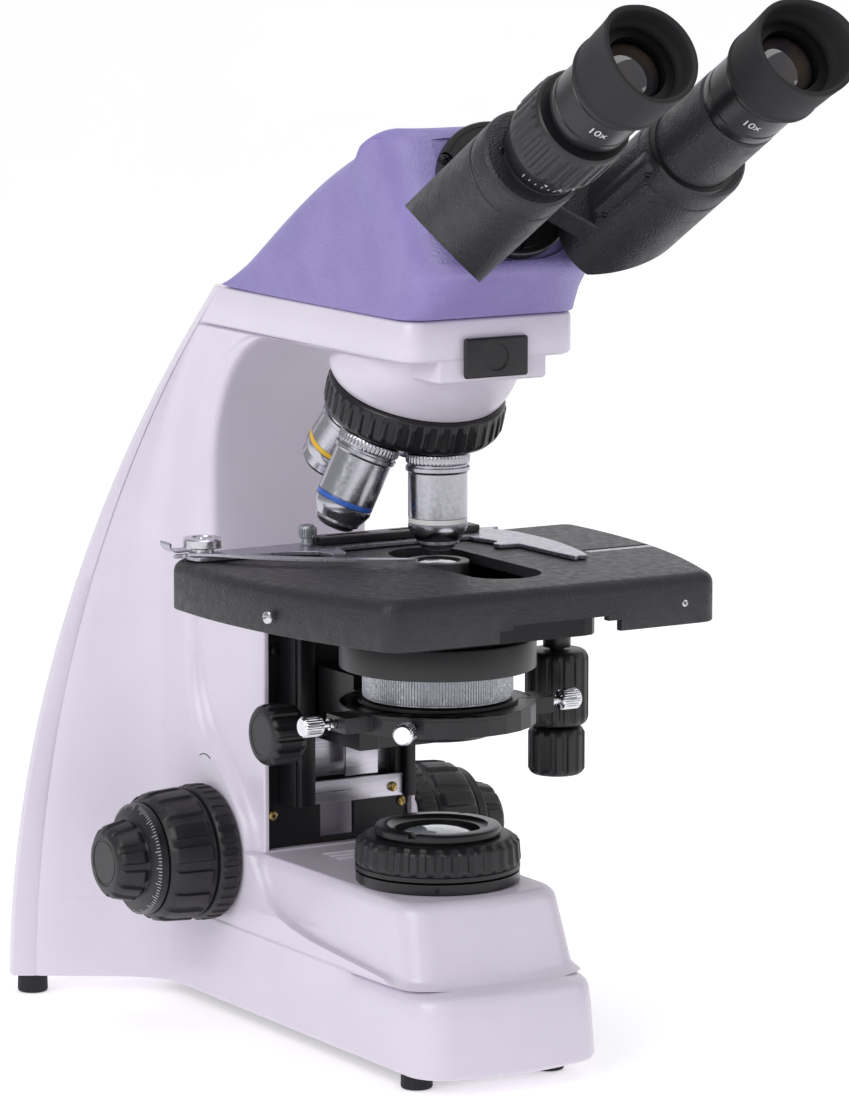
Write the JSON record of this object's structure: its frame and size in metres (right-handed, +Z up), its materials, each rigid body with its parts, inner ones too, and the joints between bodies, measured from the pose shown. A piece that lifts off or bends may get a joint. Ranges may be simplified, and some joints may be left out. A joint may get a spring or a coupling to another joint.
{
  "type": "binocular microscope",
  "caption": "Upright binocular laboratory microscope with a turret of objectives, mechanical stage, condenser, coaxial focus knobs and a built-in lamp.",
  "frame": {"origin": "centre of the bounding box's footprint, on the plane the feet stand on", "axes": "+Z up, +Y towards the back of the stand, away from the user, +X towards the right side as seen by the user in front"},
  "size_m": [0.1942, 0.4277, 0.4415],
  "materials": {
    "white_enamel": "satin textured enamel",
    "purple_plastic": "fine leather grain",
    "black_paint": "matte textured paint",
    "black_plastic": "satin",
    "rubber": "matte",
    "chrome": "polished",
    "steel": "satin",
    "aluminium": "milled",
    "glass": "coated, polished"
  },
  "bodies": {
    "stand": {"stand_casting": "white_enamel", "base_plate": "black_paint", "foot_front_left": "rubber", "foot_front_right": "rubber", "foot_rear_left": "rubber", "foot_rear_right": "rubber", "rear_cover": "white_enamel", "rail_panel": "black_paint", "power_inlet": "black_plastic", "lamp_module": "aluminium", "field_lens_mount": "black_paint", "field_lens": "glass", "nosepiece_seat": "white_enamel", "slider_cover": "black_plastic", "focus_collar_right": "black_plastic"},
    "switch": {"power_switch": "black_plastic"},
    "dial": {"brightness_dial": "black_plastic"},
    "field_iris": {"field_iris_ring": "black_plastic"},
    "tension": {"tension_ring": "black_plastic"},
    "focus": {"focus_slide": "black_paint", "stage_lower_plate": "black_paint"},
    "coarse": {"coarse_shaft": "steel", "coarse_knob_left": "black_plastic", "coarse_knob_right": "black_plastic"},
    "fine": {"fine_knob_left": "black_plastic", "fine_knob_right": "black_plastic"},
    "stage": {"stage_top": "black_paint", "drive_post": "black_paint"},
    "stage_y_drive": {"stage_y_knob": "black_plastic"},
    "holder": {"slide_holder": "steel"},
    "stage_x_drive": {"stage_x_knob": "black_plastic"},
    "lever": {"clip_lever": "steel"},
    "condenser_unit": {"condenser": "black_paint", "condenser_carrier": "black_paint", "condenser_lens": "glass"},
    "condenser_drive": {"condenser_knob": "black_plastic"},
    "condenser_iris": {"condenser_iris_ring": "steel"},
    "clamp_screw": {"condenser_clamp_screw": "steel"},
    "screw_left": {"centring_screw_left": "steel"},
    "screw_right": {"centring_screw_right": "steel"},
    "turret": {"nosepiece": "black_paint", "objective_4x": "chrome", "objective_10x": "chrome", "objective_40x": "chrome", "objective_100x": "chrome", "nosepiece_plug": "black_plastic"},
    "head": {"head_cover": "purple_plastic", "head_base_plate": "black_paint", "head_prism": "glass", "hinge_disc": "black_paint"},
    "lock": {"head_lock_screw": "black_plastic"},
    "housing_left": {"prism_housing_left": "black_paint"},
    "housing_right": {"prism_housing_right": "black_paint"},
    "diopter": {"diopter_ring": "black_plastic"},
    "ocular_left": {"eyepiece_left": "black_paint", "eye_lens_left": "glass", "eyecup_left": "rubber"},
    "ocular_right": {"eyepiece_right": "black_paint", "eye_lens_right": "glass", "eyecup_right": "rubber"}
  },
  "joints": [
    {"name": "switch_rocker", "type": "hinge", "parent": "stand", "child": "switch", "pos_m": [0.036, 0.209, 0.036], "axis": [1, 0, 0], "range_deg": [-8, 8]},
    {"name": "brightness_turn", "type": "hinge", "parent": "stand", "child": "dial", "pos_m": [0.043, 0.023, 0.026], "axis": [1, 0, 0], "range_deg": [0, 270]},
    {"name": "field_iris_turn", "type": "hinge", "parent": "stand", "child": "field_iris", "pos_m": [0, 0.005, 0.0802], "axis": [0, 0, 1], "range_deg": [0, 90]},
    {"name": "tension_turn", "type": "hinge", "parent": "stand", "child": "tension", "pos_m": [0, 0.118, 0.0715], "axis": [1, 0, 0], "range_deg": [-60, 60]},
    {"name": "focus_slide_z", "type": "slide", "parent": "stand", "child": "focus", "axis": [0, 0, 1], "range_m": [-0.016, 0]},
    {"name": "coarse_turn", "type": "hinge", "parent": "stand", "child": "coarse", "pos_m": [0, 0.118, 0.0715], "axis": [1, 0, 0], "range_deg": [-153, 0]},
    {"name": "fine_turn", "type": "hinge", "parent": "stand", "child": "fine", "pos_m": [0, 0.118, 0.0715], "axis": [1, 0, 0], "continuous": true},
    {"name": "stage_y", "type": "slide", "parent": "focus", "child": "stage", "axis": [0, 1, 0], "range_m": [-0.002, 0.045]},
    {"name": "stage_y_turn", "type": "hinge", "parent": "stage", "child": "stage_y_drive", "pos_m": [0.072, 0.0295, 0.16], "axis": [0, 0, 1], "range_deg": [-10, 215]},
    {"name": "stage_x", "type": "slide", "parent": "stage", "child": "holder", "axis": [1, 0, 0], "range_m": [-0.028, 0.028]},
    {"name": "stage_x_turn", "type": "hinge", "parent": "stage", "child": "stage_x_drive", "pos_m": [0.072, 0.0295, 0.128], "axis": [0, 0, 1], "range_deg": [-134, 134]},
    {"name": "lever_swing", "type": "hinge", "parent": "holder", "child": "lever", "pos_m": [-0.086, 0.045, 0.2101], "axis": [0, 0, 1], "range_deg": [-20, 0], "stiffness_Nm_per_rad": 0.03},
    {"name": "condenser_z", "type": "slide", "parent": "focus", "child": "condenser_unit", "axis": [0, 0, 1], "range_m": [-0.018, 0]},
    {"name": "condenser_turn", "type": "hinge", "parent": "condenser_unit", "child": "condenser_drive", "pos_m": [-0.0345, 0.0645, 0.1294], "axis": [1, 0, 0], "range_deg": [-172, 0]},
    {"name": "condenser_iris_turn", "type": "hinge", "parent": "condenser_unit", "child": "condenser_iris", "pos_m": [0, 0.005, 0.1508], "axis": [0, 0, 1], "range_deg": [0, 90]},
    {"name": "clamp_turn", "type": "hinge", "parent": "condenser_unit", "child": "clamp_screw", "pos_m": [-0.05, 0.0005, 0.1448], "axis": [1, 0, 0], "range_deg": [0, 180]},
    {"name": "left_screw_turn", "type": "hinge", "parent": "condenser_unit", "child": "screw_left", "pos_m": [-0.029, -0.024, 0.1448], "axis": [-0.7071, -0.7071, 0], "range_deg": [0, 180]},
    {"name": "right_screw_turn", "type": "hinge", "parent": "condenser_unit", "child": "screw_right", "pos_m": [0.048, 0.0005, 0.1448], "axis": [1, 0, 0], "range_deg": [0, 180]},
    {"name": "turret_turn", "type": "hinge", "parent": "stand", "child": "turret", "pos_m": [0, 0.0252, 0.26255], "axis": [0, 0.342, -0.9397], "continuous": true},
    {"name": "head_turn", "type": "hinge", "parent": "stand", "child": "head", "pos_m": [0, 0.005, 0.309], "axis": [0, 0, 1], "continuous": true},
    {"name": "lock_turn", "type": "hinge", "parent": "stand", "child": "lock", "pos_m": [0.0395, 0.005, 0.302], "axis": [1, 0, 0], "range_deg": [0, 180]},
    {"name": "eye_distance_left", "type": "hinge", "parent": "head", "child": "housing_left", "pos_m": [0, -0.047, 0.361], "axis": [0, -0.866, 0.5], "range_deg": [-6, 18]},
    {"name": "eye_distance_right", "type": "hinge", "parent": "head", "child": "housing_right", "pos_m": [0, -0.047, 0.361], "axis": [0, -0.866, 0.5], "range_deg": [-18, 6]},
    {"name": "diopter_turn", "type": "hinge", "parent": "housing_left", "child": "diopter", "pos_m": [-0.034, -0.05875, 0.34065], "axis": [0, -0.866, 0.5], "range_deg": [-90, 90]},
    {"name": "eyepiece_left_draw", "type": "slide", "parent": "housing_left", "child": "ocular_left", "axis": [0, -0.866, 0.5], "range_m": [0, 0.03]},
    {"name": "eyepiece_right_draw", "type": "slide", "parent": "housing_right", "child": "ocular_right", "axis": [0, -0.866, 0.5], "range_m": [0, 0.03]}
  ],
  "couplings": [
    {"joint": "coarse_turn", "follows": "focus_slide_z", "rad_per_m": 166.67},
    {"joint": "stage_y_turn", "follows": "stage_y", "rad_per_m": 83.333},
    {"joint": "stage_x_turn", "follows": "stage_x", "rad_per_m": 83.333},
    {"joint": "condenser_turn", "follows": "condenser_z", "rad_per_m": 166.67},
    {"joint": "eye_distance_right", "follows": "eye_distance_left", "ratio": -1}
  ]
}
